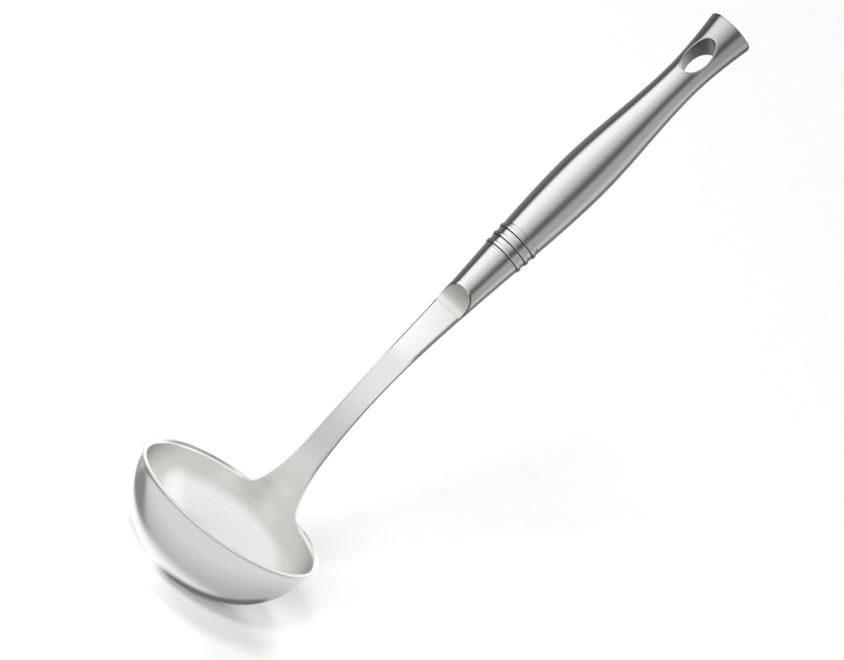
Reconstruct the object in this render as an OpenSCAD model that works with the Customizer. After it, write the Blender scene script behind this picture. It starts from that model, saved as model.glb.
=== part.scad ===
// Soup ladle of stainless steel: a deep bowl pressed in one piece with its flat shank, a scalloped
// ferrule, a ring of three beads, and a hollow grip with a lined hanging eye and a closed end.
// All sizes are in millimetres. The bowl's axis is +Z and its foot lies on z = 0.
// The handle rises towards +X, and the whole ladle is symmetric about the plane y = 0.

/* [Bowl] */
// Outside diameter of the bowl's wall at its rim
bowl_d = 87.4; // [76:0.2:98]
// Height of the bowl from its foot to its rim
bowl_h = 38; // [32:1:46]
// Thickness of the bowl's wall
bowl_wall = 1.5; // [1.2:0.1:1.8]
// Fullness of the bowl's sides: 2 is a plain ellipse, more is squarer
bowl_fullness = 2.1; // [2:0.05:2.4]
// Diameter of the small flat on which the bowl stands
foot_d = 16; // [12:1:20]
// Distance that the lip stands out from the wall
lip_out = 1.2; // [0.8:0.1:2.2]
// Height over which the lip curls out
lip_h = 2.2; // [2:0.1:4]
// Angle over which the lip fades out beside the shank
lip_fade = 10; // [7:1:20]

/* [Shank] */
// Thickness of the shank
shank_t = 2.5; // [2.1:0.1:3]
// Width of the shank at its waist
waist_w = 11; // [9:0.2:13]
// Height of the waist above the rim
waist_h = 55; // [48:1:62]
// Width that the shank would have at the rim without its fillets
root_w = 16; // [12:0.2:18]
// Width of each fillet between the rim and the shank
fillet_w = 7; // [5:0.5:11]
// Height of these fillets
fillet_h = 27; // [22:1:34]
// Length of the shank's straight part, from its bend to the ferrule
straight_l = 17.2; // [12:0.2:30]

/* [Handle line] */
// Angle of the handle above the plane of the rim
handle_tilt = 62; // [57:1:67]
// Distance from the bowl's axis to the point where the handle's axis meets the plane of the rim
handle_x = 18; // [14:0.5:22]
// Height of the shank's front face above the handle's axis
face_lift = 1.2; // [0.8:0.1:1.6]

/* [Ferrule] */
// Diameter of the ferrule at the shank
nose_d = 14.2; // [13:0.1:15.4]
// Diameter of the ferrule at the bead ring
ferrule_d = 18.4; // [17.4:0.1:19.4]
// Length of the ferrule that shows
ferrule_l = 32; // [26:1:40]
// Radius of the two scallops that thin the ferrule down to the shank
scallop_r = 11.5; // [10:0.5:16]
// Diameter of the spigot that carries the bead ring and the grip
spigot_d = 16; // [14.6:0.1:16.4]
// Length of the spigot inside the grip
spigot_l = 9; // [6:0.5:14]

/* [Bead ring] */
// Number of beads
bead_n = 3; // [2:1:5]
// Distance from one bead to the next
bead_pitch = 4.4; // [3.8:0.1:5.4]
// Width of a bead
bead_w = 1.9; // [1.4:0.1:2.4]
// Height of a bead above the plain bands
bead_h = 0.5; // [0.3:0.1:0.8]

/* [Grip] */
// Diameter of the grip at the bead ring
grip_d = 20.1; // [19:0.1:21]
// Diameter of the grip at its belly
belly_d = 23.3; // [21.4:0.1:25]
// Distance from the bead ring to the belly
belly_at = 37.5; // [30:0.5:45]
// Diameter of the grip at its neck
neck_d = 16.9; // [16:0.1:18]
// Distance from the end of the grip back to its neck
neck_back = 29.5; // [24:0.5:36]
// Diameter of the grip at its tail
tail_d = 22.4; // [20:0.1:23.5]
// Length of the grip's tube
grip_l = 130; // [112:1:150]
// Wall of the grip's tube
grip_wall = 1; // [0.8:0.1:1.3]

/* [Eye and end] */
// Distance from the end of the grip back to the middle of the eye
eye_back = 19.5; // [17:0.5:24]
// Length of the opening of the eye, along the handle
eye_l = 18.6; // [15:0.2:21]
// Width of the opening of the eye
eye_w = 10.2; // [8:0.2:11]
// Wall of the liner in the eye
liner_t = 0.6; // [0.4:0.1:0.9]
// Distance that the liner stands proud of the grip
liner_proud = 0.15; // [0.05:0.05:0.3]
// Radius of the rounded edge of the end cap
cap_edge_r = 1; // [0.8:0.1:2.5]
// Height of the dome of the end cap above its rounded edge
cap_dome_h = 0.3; // [0.2:0.1:1.5]
// Length of the end cap's plug inside the grip
plug_l = 4; // [2:0.5:7]

/* [Fits] */
// Clearance between a piece and what it fits over
fit_gap = 0.1; // [0.05:0.01:0.15]
// Gap at the butt joints, which are welded and ground flush
weld_gap = 0.04; // [0.02:0.01:0.08]

/* [Hidden] */
$fn = 96;

// Numbers of steps along the curves
bowl_rings = 12;
lip_rings = 3;
ring_columns = 64;
shank_columns = 10;
fillet_rows = 9;
shank_rows = 18;
cap_steps = 4;
grip_steps = 36;
cone_steps = 8;
arc_steps = 10;
oval_steps = 48;

// Exponents of the curves that aren't arcs
waist_power = 2;
nose_power = 1.2;
tail_power = 1.6;
lip_power = 2;

// The bowl's wall, from the middle of its thickness
half_wall = bowl_wall / 2;
mid_r = bowl_d / 2 - half_wall;
side_k = 2 / bowl_fullness;
foot_a = asin(pow(foot_d / 2 / mid_r, 1 / side_k));
mid_h = (bowl_h - half_wall) / pow(cos(foot_a), side_k);
lip_a = acos(pow(lip_h / mid_h, 1 / side_k));
last_ring = bowl_rings + lip_rings;

// The shank's front face rises from the rim and bends over into the handle's line
front_x = bowl_d / 2 - bowl_wall;
bend_z = (front_x - handle_x + face_lift / sin(handle_tilt)) * tan(handle_tilt);
bend_end_z = bend_z * (1 + sin(handle_tilt));
bend_end_t = (bend_end_z - face_lift * cos(handle_tilt)) / sin(handle_tilt);
nose_t = bend_end_t + straight_l;
nose_z = (nose_t - weld_gap) * sin(handle_tilt) + face_lift * cos(handle_tilt);

// Stations along the handle's axis
ring_t = nose_t + ferrule_l;
ring_l = bead_n * bead_pitch;
grip_t = ring_t + ring_l;
end_t = grip_t + grip_l;

// The neck and the eye, from the bead ring
neck_at = grip_l - neck_back;
eye_at = grip_l - eye_back;

// The sector of the rim from which the shank rises
root_half = root_w / 2 + fillet_w;
root_a = root_half / mid_r * 180 / PI;
all_rows = fillet_rows + shank_rows;
row_n = shank_columns + 1;
grid_n = 1 + (last_ring + 1) * ring_columns + all_rows * row_n;

function smooth(s) = let (c = min(1, max(0, s))) c * c * (3 - 2 * c);
function unit(v) = v / norm(v);

// Bowl: the angle of a column round the bowl's axis, with the shank's sector first
function column_a(j) =
    j <= shank_columns
    ? root_a * (2 * j / shank_columns - 1)
    : root_a + (360 - 2 * root_a) * (j - shank_columns) / (ring_columns - shank_columns);

// Bowl: how much of the lip a column has
function lip_share(j) =
    let (a = column_a(j), away = min(abs(a), 360 - a))
    smooth((away - root_a) / lip_fade);

// Bowl: radius of the plain wall at height z, which is below the rim and so negative
function wall_r(z) = mid_r * pow(1 - pow(-z / mid_h, bowl_fullness), 1 / bowl_fullness);

// Bowl: [radius, height] of ring i, with share s of the lip
function ring_point(i, s) =
    let (a = foot_a + (lip_a - foot_a) * i / bowl_rings)
    let (u = (i - bowl_rings) / lip_rings)
    let (z = -lip_h + (lip_h - half_wall) * u)
    i < bowl_rings
    ? [mid_r * pow(sin(a), side_k), -mid_h * pow(cos(a), side_k)]
    : [wall_r(z) + s * lip_out * pow(u, lip_power), z];

// Bowl: outward normal of ring i in the same plane
function ring_normal(i, s) =
    let (a = foot_a + (lip_a - foot_a) * i / bowl_rings)
    let (u = (i - bowl_rings) / lip_rings)
    let (curl = s * lip_out * lip_power * u / (lip_h - half_wall))
    i == 0
    ? [0, -1]
    : i < bowl_rings
    ? unit([mid_h * pow(sin(a), 2 - side_k), -mid_r * pow(cos(a), 2 - side_k)])
    : unit([1, -curl]);

function turned(p, a) = [p[0] * cos(a), p[0] * sin(a), p[1]];

// Bowl: one cell of the grid, as [middle of the wall, outward normal, half the thickness]
function bowl_cell(i, j) =
    let (a = column_a(j), s = lip_share(j))
    [turned(ring_point(i, s), a), turned(ring_normal(i, s), a), half_wall];

// Shank: parameter of the bend at height z, from 0 at the rim to 1 where the bend ends
function bend_s(z) =
    z < bend_end_z
    ? z / (bend_z + sqrt(bend_z * bend_z - bend_z * (1 - sin(handle_tilt)) * z))
    : 1;

// Shank: [x, z] of the front face's centre line, its direction and its backward normal
function front_point(z) =
    let (s = bend_s(z), reach = bend_z * cos(handle_tilt))
    [front_x + reach * s * s + max(0, z - bend_end_z) / tan(handle_tilt), z];
function front_way(z) =
    let (s = bend_s(z))
    unit([s * cos(handle_tilt), 1 - s + s * sin(handle_tilt)]);
function back_way(z) = let (w = front_way(z)) [w[1], -w[0]];

// Shank: half the thickness, half the width without fillets, and the curvature across
function half_t(z) = (bowl_wall + (shank_t - bowl_wall) * smooth(z / fillet_h)) / 2;
function half_w(z) =
    let (low = max(0, 1 - z / waist_h), high = max(0, (z - waist_h) / (nose_z - waist_h)))
    (waist_w + (root_w - waist_w) * pow(low, waist_power)
        + (nose_d - waist_w) * pow(high, waist_power)) / 2;
function half_w_slope(z) = half_w(z + 0.5) - half_w(z - 0.5);
function bow_r(z) = mid_r / max(1e-4, 1 - smooth(z / waist_h));

// Shank: [half width, height, side part, upward part] of the edge's centre line and its way out
function edge_row(k) =
    let (a = min(90, 90 * k / fillet_rows))
    let (z = fillet_h * (1 - cos(a)))
    let (w = half_w(z) + fillet_w * (1 - sin(a)))
    let (side = fillet_h * sin(a), up = fillet_w * cos(a) - half_w_slope(z) * side)
    let (way = unit([side, up]), e = half_t(z))
    let (zs = fillet_h + (nose_z - fillet_h) * (k - fillet_rows) / shank_rows)
    k < fillet_rows
    ? [w - e * way[0], z - e * way[1], way[0], way[1]]
    : [half_w(zs) - half_t(zs), zs, 1, 0];

// Shank: a point and directions at height z, w away from the middle along the bowed face
function shank_frame(z, w) =
    let (r = bow_r(z), a = w / r * 180 / PI)
    let (f = front_point(z), n = back_way(z), t = front_way(z), h = half_t(z))
    let (out = r * (cos(a) - 1) + h)
    [
        [f[0] + n[0] * out, r * sin(a), f[1] + n[1] * out],
        [n[0] * cos(a), sin(a), n[1] * cos(a)],
        h,
        [-n[0] * sin(a), cos(a), -n[1] * sin(a)],
        [t[0], 0, t[1]]
    ];
function shank_cell(k, m) =
    let (row = edge_row(k))
    shank_frame(row[1], row[0] * (2 * m / shank_columns - 1));

// The grid of cells: the pole, the bowl's rings and the shank's rows
pole_cell = [[0, 0, -(bowl_h - half_wall)], [0, 0, -1], half_wall];
grid = concat(
    [pole_cell],
    [for (i = [0 : last_ring], j = [0 : ring_columns - 1]) bowl_cell(i, j)],
    [for (k = [1 : all_rows], m = [0 : shank_columns]) shank_cell(k, m)]
);

// Index of a cell in the grid. Row 0 of the shank is the last ring's first sector.
function ring_at(i, j) = 1 + i * ring_columns + j % ring_columns;
function row_at(k, m) =
    k == 0 ? ring_at(last_ring, m) : 1 + (last_ring + 1) * ring_columns + (k - 1) * row_n + m;

// The free edge, as a closed loop of [index, way out of the edge]
function rim_way(j) =
    let (n = ring_normal(last_ring, lip_share(j)))
    turned([-n[1], n[0]], column_a(j));
function side_way(k, m, side) =
    let (row = edge_row(k), f = shank_frame(row[1], side * row[0]))
    row[2] * side * f[3] + row[3] * f[4];
edge_loop = concat(
    [for (j = [shank_columns : ring_columns]) [ring_at(last_ring, j), rim_way(j)]],
    [for (k = [1 : all_rows]) [row_at(k, 0), side_way(k, 0, -1)]],
    [for (m = [1 : shank_columns - 1]) [row_at(all_rows, m), [0, 0, 0]]],
    [for (k = [all_rows : -1 : 1]) [row_at(k, shank_columns), side_way(k, shank_columns, 1)]]
);

// A quad as two triangles, and the same quad seen from its other side
function quad(a, b, c, d) = [[a, b, c], [a, c, d]];
function flipped(tris) = [for (t = tris) [t[2], t[1], t[0]]];
function flat(lists) = [for (l = lists, x = l) x];
function shifted(tris, n) = [for (t = tris) [t[0] + n, t[1] + n, t[2] + n]];

front_tris = concat(
    [for (j = [0 : ring_columns - 1]) [0, ring_at(0, j + 1), ring_at(0, j)]],
    flat([for (i = [0 : last_ring - 1], j = [0 : ring_columns - 1])
        quad(ring_at(i, j), ring_at(i, j + 1), ring_at(i + 1, j + 1), ring_at(i + 1, j))]),
    flat([for (k = [0 : all_rows - 1], m = [0 : shank_columns - 1])
        quad(row_at(k, m), row_at(k, m + 1), row_at(k + 1, m + 1), row_at(k + 1, m))])
);

// Points round the edge, and the index of point q of edge station s
edge_points = [for (e = edge_loop, q = [1 : cap_steps - 1])
    let (c = grid[e[0]], a = 180 * q / cap_steps)
    c[0] + c[2] * (sin(a) * e[1] - cos(a) * c[1])];
function edge_at(s, q) =
    let (t = s % len(edge_loop))
    q == 0 ? edge_loop[t][0]
    : q == cap_steps ? edge_loop[t][0] + grid_n
    : 2 * grid_n + t * (cap_steps - 1) + q - 1;
edge_tris = flat([for (s = [0 : len(edge_loop) - 1], q = [0 : cap_steps - 1])
    quad(edge_at(s, q), edge_at(s + 1, q), edge_at(s + 1, q + 1), edge_at(s, q + 1))]);

module bowl_and_shank() {
    color([0.80, 0.80, 0.80])
        translate([0, 0, bowl_h])
            polyhedron(
                points = concat(
                    [for (c = grid) c[0] - c[2] * c[1]],
                    [for (c = grid) c[0] + c[2] * c[1]],
                    edge_points
                ),
                faces = concat(front_tris, shifted(flipped(front_tris), grid_n), edge_tris)
            );
}

// Puts a piece on the handle's axis, t along it. Its own -X is then the ladle's front side.
module on_handle(t) {
    translate([handle_x, 0, bowl_h])
        rotate([0, 90 - handle_tilt, 0])
            translate([0, 0, t])
                children();
}

function cone_r(s) = (nose_d + (ferrule_d - nose_d) * pow(s / ferrule_l, nose_power)) / 2;

// Cylinder across the handle that cuts the scallop on its back, lift away from the axis
module scallop(lift) {
    translate([lift + scallop_r, 0, 0])
        rotate([90, 0, 0])
            cylinder(r = scallop_r, h = 2 * ferrule_d, center = true);
}

module ferrule() {
    spigot_end = ferrule_l + ring_l + spigot_l;
    color([0.66, 0.66, 0.64])
        on_handle(nose_t)
            difference() {
                rotate_extrude()
                    polygon(concat(
                        [[0, 0]],
                        [for (i = [0 : cone_steps]) [cone_r(ferrule_l * i / cone_steps),
                            ferrule_l * i / cone_steps]],
                        [[spigot_d / 2, ferrule_l], [spigot_d / 2, spigot_end], [0, spigot_end]]
                    ));
                mirror([1, 0, 0])
                    scallop(face_lift);
                scallop(shank_t - face_lift);
            }
}

// Radius of the plain bands of the bead ring at distance s from the ferrule
function band_r(s) = (ferrule_d + (grip_d - ferrule_d) * s / ring_l) / 2;

module bead_ring() {
    bead_from = [for (i = [0 : bead_n - 1]) (i + 0.5) * bead_pitch - bead_w / 2];
    color([0.72, 0.72, 0.71])
        on_handle(ring_t)
            rotate_extrude()
                polygon(concat(
                    [[spigot_d / 2 + fit_gap, weld_gap], [band_r(0), weld_gap]],
                    [for (f = bead_from, q = [0 : arc_steps])
                        let (s = f + bead_w * q / arc_steps)
                        [band_r(s) + bead_h * sqrt(max(0, 1 - pow(2 * q / arc_steps - 1, 2))), s]],
                    [[band_r(ring_l), ring_l - weld_gap],
                        [spigot_d / 2 + fit_gap, ring_l - weld_gap]]
                ));
}

// Outside radius of the grip at distance s from the bead ring
function grip_r(s) =
    s <= belly_at
    ? (grip_d + (belly_d - grip_d) * sin(90 * s / belly_at)) / 2
    : s <= neck_at
    ? (belly_d + neck_d + (belly_d - neck_d) * cos(180 * (s - belly_at) / (neck_at - belly_at))) / 4
    : (neck_d + (tail_d - neck_d) * pow((s - neck_at) / (grip_l - neck_at), tail_power)) / 2;

// Points of the grip's profile from s = from to its tail, moved inwards by a wall
function grip_side(from, inwards) =
    [for (i = [0 : grip_steps])
        let (s = from + (grip_l - from) * i / grip_steps)
        [grip_r(s) - inwards, s]];
function reversed(list) = [for (i = [len(list) - 1 : -1 : 0]) list[i]];

// An oval right across the handle, as a cutter or a plug
module eye_prism(l, w) {
    translate([0, 0, eye_at])
        rotate([0, 90, 0])
            linear_extrude(height = 2 * belly_d, center = true)
                polygon([for (i = [0 : oval_steps - 1])
                    [l / 2 * cos(360 * i / oval_steps), w / 2 * sin(360 * i / oval_steps)]]);
}

liner_gap = 2 * (liner_t + fit_gap);

module grip_tube() {
    bore_r = spigot_d / 2 + fit_gap;
    hollow_from = spigot_l + grip_wall;
    color([0.70, 0.70, 0.69])
        on_handle(grip_t)
            difference() {
                rotate_extrude()
                    polygon(concat(
                        [[bore_r, 0]],
                        grip_side(0, 0),
                        reversed(grip_side(hollow_from, grip_wall)),
                        [[bore_r, hollow_from]]
                    ));
                eye_prism(eye_l + liner_gap, eye_w + liner_gap);
            }
}

module eye_liner() {
    color([0.55, 0.55, 0.54])
        on_handle(grip_t)
            intersection() {
                difference() {
                    eye_prism(eye_l + 2 * liner_t, eye_w + 2 * liner_t);
                    eye_prism(eye_l, eye_w);
                }
                rotate_extrude()
                    polygon(concat([[0, 0]], grip_side(0, -liner_proud), [[0, grip_l]]));
            }
}

module end_cap() {
    flange_r = tail_d / 2;
    plug_r = grip_r(grip_l - plug_l) - grip_wall - fit_gap;
    flat_r = flange_r - cap_edge_r;
    dome_r = (flat_r * flat_r + cap_dome_h * cap_dome_h) / (2 * cap_dome_h);
    dome_a = asin(flat_r / dome_r);
    color([0.68, 0.68, 0.67])
        on_handle(end_t)
            rotate_extrude()
                polygon(concat(
                    [[0, -plug_l], [plug_r, -plug_l], [plug_r, weld_gap]],
                    [for (q = [0 : arc_steps])
                        let (a = 90 * q / arc_steps)
                        [flat_r + cap_edge_r * cos(a), weld_gap + cap_edge_r * sin(a)]],
                    [for (q = [1 : arc_steps])
                        let (a = dome_a * (1 - q / arc_steps))
                        [dome_r * sin(a),
                            weld_gap + cap_edge_r + cap_dome_h - dome_r * (1 - cos(a))]]
                ));
}

bowl_and_shank();
ferrule();
bead_ring();
grip_tube();
eye_liner();
end_cap();
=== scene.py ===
# %% [markdown]
# # A soup ladle of stainless steel
# This lesson dresses the CAD model of a soup ladle for a product picture. The ladle stands on its
# bowl, and its handle rises to one side. Every piece is steel, so nearly all of what the eye sees
# is the room that the steel mirrors: the shapes have to be smooth, the finishes different from each
# other, and the lamps and backdrops placed with care.

# %% Open the frame
import math

import bmesh
import bpy
from mathutils import Matrix, Vector


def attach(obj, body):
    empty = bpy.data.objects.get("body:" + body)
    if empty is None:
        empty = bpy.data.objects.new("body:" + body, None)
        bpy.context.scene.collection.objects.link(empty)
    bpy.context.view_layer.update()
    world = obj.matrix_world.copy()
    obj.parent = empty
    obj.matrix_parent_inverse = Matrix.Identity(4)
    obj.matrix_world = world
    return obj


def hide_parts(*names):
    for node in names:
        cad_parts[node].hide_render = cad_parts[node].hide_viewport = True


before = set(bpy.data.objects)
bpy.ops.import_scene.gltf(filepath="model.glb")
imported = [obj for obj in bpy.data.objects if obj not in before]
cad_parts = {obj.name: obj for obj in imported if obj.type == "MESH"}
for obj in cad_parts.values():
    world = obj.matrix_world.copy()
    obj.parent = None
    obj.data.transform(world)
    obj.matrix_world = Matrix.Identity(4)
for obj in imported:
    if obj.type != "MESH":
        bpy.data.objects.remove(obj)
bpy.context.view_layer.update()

MM = 0.001
TO_MM = 1 / MM

# %% [markdown]
# ## The camera
# The picture was taken from far away, so its lines hardly converge. The camera looks at the bowl
# from the front, a little from above, and it is rolled. Its axes and its place were found by
# fitting the rim's oval and the handle's line, so they are given as three directions and a point.

# %% Place the camera
IMAGE_WIDTH_PX = 844
FOCAL_PX = 5000
SENSOR_WIDTH = 36.0
CAMERA_REACH = 20.0
CAMERA_RIGHT = Vector((0.39664, -0.70978, 0.58214))
CAMERA_UP = Vector((0.02251, 0.64144, 0.76678))
CAMERA_PLACE_MM = Vector((-1891.37, -619.60, 707.96))

camera_data = bpy.data.cameras.new("camera")
camera_data.sensor_width = SENSOR_WIDTH
camera_data.lens = FOCAL_PX / IMAGE_WIDTH_PX * SENSOR_WIDTH
camera_data.clip_end = CAMERA_REACH
camera = bpy.data.objects.new("camera", camera_data)
bpy.context.scene.collection.objects.link(camera)
camera_back = CAMERA_RIGHT.cross(CAMERA_UP).normalized()
camera_up = camera_back.cross(CAMERA_RIGHT).normalized()
turn = Matrix((CAMERA_RIGHT.normalized(), camera_up, camera_back)).transposed()
camera.matrix_world = Matrix.Translation(CAMERA_PLACE_MM * MM) @ turn.to_4x4()
bpy.context.scene.camera = camera
bpy.context.scene.view_settings.view_transform = "Standard"
print("lens:", round(camera_data.lens, 2), "mm")

# %% [markdown]
# ## The ladle's sizes
# The same sizes as in the CAD model, in millimetres, so that each dressed piece lies where its
# solid lies. The handle's own frame has its axis along the handle, its x towards the back and its y
# across.

# %% Name the sizes
BOWL_H = 38.0
BOWL_D = 87.4
BOWL_WALL = 1.5
BOWL_FULLNESS = 2.1
FOOT_D = 16.0
LIP_OUT = 1.17
LIP_H = 2.2
LIP_FADE = 10.0
SHANK_T = 2.5
WAIST_W = 11.0
WAIST_H = 55.0
ROOT_W = 16.0
FILLET_W = 7.0
FILLET_H = 27.0
STRAIGHT_L = 17.2
TILT = math.radians(62)
HANDLE_WAY = (math.cos(TILT), 0, math.sin(TILT))
HANDLE_X = 18.0
FACE_LIFT = 1.2
NOSE_D = 14.2
FERRULE_D = 18.4
FERRULE_L = 32.0
SCALLOP_R = 11.5
BEAD_N = 3
BEAD_PITCH = 4.4
BEAD_W = 1.9
BEAD_H = 0.5
GRIP_D = 20.1
BELLY_D = 23.3
BELLY_AT = 37.5
NECK_D = 16.9
NECK_BACK = 29.5
TAIL_D = 22.4
GRIP_L = 130.0
GRIP_WALL = 1.0
EYE_BACK = 19.5
EYE_L = 18.6
EYE_W = 10.2
LINER_T = 0.6
LINER_PROUD = 0.15
CAP_EDGE_R = 1.0
CAP_DOME_H = 0.3
WELD_GAP = 0.04

HALF_WALL = BOWL_WALL / 2
MID_R = BOWL_D / 2 - HALF_WALL
SIDE_K = 2 / BOWL_FULLNESS
FOOT_A = math.asin((FOOT_D / 2 / MID_R) ** (1 / SIDE_K))
MID_H = (BOWL_H - HALF_WALL) / math.cos(FOOT_A) ** SIDE_K
LIP_A = math.acos((LIP_H / MID_H) ** (1 / SIDE_K))
FRONT_X = BOWL_D / 2 - BOWL_WALL
BEND_Z = (FRONT_X - HANDLE_X + FACE_LIFT / math.sin(TILT)) * math.tan(TILT)
BEND_END_Z = BEND_Z * (1 + math.sin(TILT))
BEND_END_T = (BEND_END_Z - FACE_LIFT * math.cos(TILT)) / math.sin(TILT)
NOSE_T = BEND_END_T + STRAIGHT_L
NOSE_Z = (NOSE_T - WELD_GAP) * math.sin(TILT) + FACE_LIFT * math.cos(TILT)
RING_T = NOSE_T + FERRULE_L
RING_L = BEAD_N * BEAD_PITCH
GRIP_T = RING_T + RING_L
END_T = GRIP_T + GRIP_L
NECK_AT = GRIP_L - NECK_BACK
EYE_AT = GRIP_L - EYE_BACK
print("stations along the handle:", [round(t, 2) for t in (NOSE_T, RING_T, GRIP_T, END_T)])

# %% [markdown]
# ## From points to a piece
# Every piece is made the same way: a function works out points in millimetres, and the points
# become a smooth mesh in metres. The piece then rides on the ladle's one body and stands in for its
# CAD node, which is hidden.

# %% Make a piece from points and faces
SHARP_DEG = 50
HANDLE_FRAME = (Matrix.Translation((HANDLE_X, 0, BOWL_H))
                @ Matrix.Rotation(math.pi / 2 - TILT, 4, "Y"))


def make_piece(name, node, points, faces, face_kinds=None, along=None, closed=True):
    """Build one smooth piece. along = distance along the handle where the points' z = 0 lies."""
    mesh = bpy.data.meshes.new(name)
    place = Matrix.Identity(4)
    if along is not None:
        place = HANDLE_FRAME @ Matrix.Translation((0, 0, along))
    mesh.from_pydata([place @ Vector(p) * MM for p in points], [], faces)
    work = bmesh.new()
    work.from_mesh(mesh)
    if face_kinds:
        for face, kind in zip(work.faces, face_kinds):
            face.material_index = kind
    if closed:
        bmesh.ops.recalc_face_normals(work, faces=work.faces)
    for face in work.faces:
        face.smooth = True
    work.to_mesh(mesh)
    work.free()
    mesh.set_sharp_from_angle(angle=math.radians(SHARP_DEG))
    piece = bpy.data.objects.new(name, mesh)
    bpy.context.scene.collection.objects.link(piece)
    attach(piece, "root")
    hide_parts(node)
    print(name, "has", len(mesh.polygons), "faces")
    return piece


def tube_faces(rings, around, closed_ends=True):
    """Quads between rings of points, which close on themselves, and a face on each end."""
    faces = []
    for i in range(rings - 1):
        for j in range(around):
            k = (j + 1) % around
            a, b = i * around, (i + 1) * around
            faces.append((a + j, a + k, b + k, b + j))
    if closed_ends:
        faces.append(list(range(around))[::-1])
        faces.append([(rings - 1) * around + j for j in range(around)])
    return faces


def turned_points(profile, around):
    """Points of a profile of (radius, height) turned about the axis."""
    return [(r * math.cos(2 * math.pi * j / around), r * math.sin(2 * math.pi * j / around), z)
            for r, z in profile for j in range(around)]


# %% [markdown]
# ## Bowl and shank
# On the real ladle the bowl and its flat shank are one pressing of sheet steel. The sheet could be
# drawn as a revolved bowl with a strip joined to it, but the join would show in the mirror-like
# steel. Here one grid of points covers both: it holds the middle of the sheet, its normal and half
# its thickness. The sheet's two faces lie on either side, and a half-round edge joins them.

# %% The middle of the sheet in the bowl
BOWL_RINGS = 44
LIP_RINGS = 8
SHANK_COLUMNS = 24
RING_COLUMNS = 216
FILLET_ROWS = 26
SHANK_ROWS = 60
EDGE_STEPS = 8
LAST_RING = BOWL_RINGS + LIP_RINGS
ALL_ROWS = FILLET_ROWS + SHANK_ROWS
ROOT_A = (ROOT_W / 2 + FILLET_W) / MID_R


def smooth(s):
    c = min(1.0, max(0.0, s))
    return c * c * (3 - 2 * c)


def column_angle(j):
    if j <= SHANK_COLUMNS:
        return ROOT_A * (2 * j / SHANK_COLUMNS - 1)
    rest = (j - SHANK_COLUMNS) / (RING_COLUMNS - SHANK_COLUMNS)
    return ROOT_A + (2 * math.pi - 2 * ROOT_A) * rest


def lip_share(j):
    a = column_angle(j)
    away = min(abs(a), 2 * math.pi - a)
    return smooth((away - ROOT_A) / math.radians(LIP_FADE))


def bowl_cell(i, j):
    """Middle of the wall, outward normal and half the thickness at ring i and column j."""
    share, turn_a = lip_share(j), column_angle(j)
    if i < BOWL_RINGS:
        a = FOOT_A + (LIP_A - FOOT_A) * i / BOWL_RINGS
        r, z = MID_R * math.sin(a) ** SIDE_K, -MID_H * math.cos(a) ** SIDE_K
        normal = Vector((MID_H * math.sin(a) ** (2 - SIDE_K),
                         -MID_R * math.cos(a) ** (2 - SIDE_K)))
        if i == 0:
            normal = Vector((0, -1))
    else:
        u = (i - BOWL_RINGS) / LIP_RINGS
        z = -LIP_H + (LIP_H - HALF_WALL) * u
        r = MID_R * (1 - (-z / MID_H) ** BOWL_FULLNESS) ** (1 / BOWL_FULLNESS)
        r += share * LIP_OUT * u ** 2
        normal = Vector((1, -share * LIP_OUT * 2 * u / (LIP_H - HALF_WALL)))
    normal.normalize()
    c, s = math.cos(turn_a), math.sin(turn_a)
    return Vector((r * c, r * s, z)), Vector((normal.x * c, normal.x * s, normal.y)), HALF_WALL


print("bowl rings:", LAST_RING + 1, "columns:", RING_COLUMNS)

# %% [markdown]
# The shank leaves the rim upright, on the bowl's own curve, and bends over into the handle's line
# along a parabola. It narrows to a waist and widens again to the ferrule. Two fillets lead from the
# rim into its edges: they are quarter ovals in the face of the sheet. The shank starts as round as
# the bowl and is flat from its waist on.

# %% The middle of the sheet in the shank
FLAT_SHARE = 1e-4


def bend_share(z):
    if z >= BEND_END_Z:
        return 1.0
    return z / (BEND_Z + math.sqrt(BEND_Z ** 2 - BEND_Z * (1 - math.sin(TILT)) * z))


def half_t(z):
    return (BOWL_WALL + (SHANK_T - BOWL_WALL) * smooth(z / FILLET_H)) / 2


def half_w(z):
    low, high = max(0, 1 - z / WAIST_H), max(0, (z - WAIST_H) / (NOSE_Z - WAIST_H))
    return (WAIST_W + (ROOT_W - WAIST_W) * low ** 2 + (NOSE_D - WAIST_W) * high ** 2) / 2


def shank_frame(z, w):
    """Middle of the sheet, normal, half thickness, way sideways and way upwards."""
    s = bend_share(z)
    x = FRONT_X + BEND_Z * math.cos(TILT) * s * s + max(0, z - BEND_END_Z) / math.tan(TILT)
    up = Vector((s * math.cos(TILT), 0, 1 - s + s * math.sin(TILT))).normalized()
    back = Vector((up.z, 0, -up.x))
    r = MID_R / max(FLAT_SHARE, 1 - smooth(z / WAIST_H))
    a, h = w / r, half_t(z)
    side = Vector((0, 1, 0))
    middle = Vector((x, 0, z)) + back * (r * (math.cos(a) - 1) + h) + side * (r * math.sin(a))
    normal = back * math.cos(a) + side * math.sin(a)
    return middle, normal, h, side * math.cos(a) - back * math.sin(a), up


def edge_row(k):
    """Half width and height of row k at the edge's centre, and the way out of the edge."""
    if k < FILLET_ROWS:
        a = math.pi / 2 * k / FILLET_ROWS
        z = FILLET_H * (1 - math.cos(a))
        w = half_w(z) + FILLET_W * (1 - math.sin(a))
        slope = half_w(z + 0.5) - half_w(z - 0.5)
        way = Vector((FILLET_H * math.sin(a),
                      FILLET_W * math.cos(a) - slope * FILLET_H * math.sin(a))).normalized()
        e = half_t(z)
        return w - e * way.x, z - e * way.y, way.x, way.y
    z = FILLET_H + (NOSE_Z - FILLET_H) * (k - FILLET_ROWS) / SHANK_ROWS
    return half_w(z) - half_t(z), z, 1, 0


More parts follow.
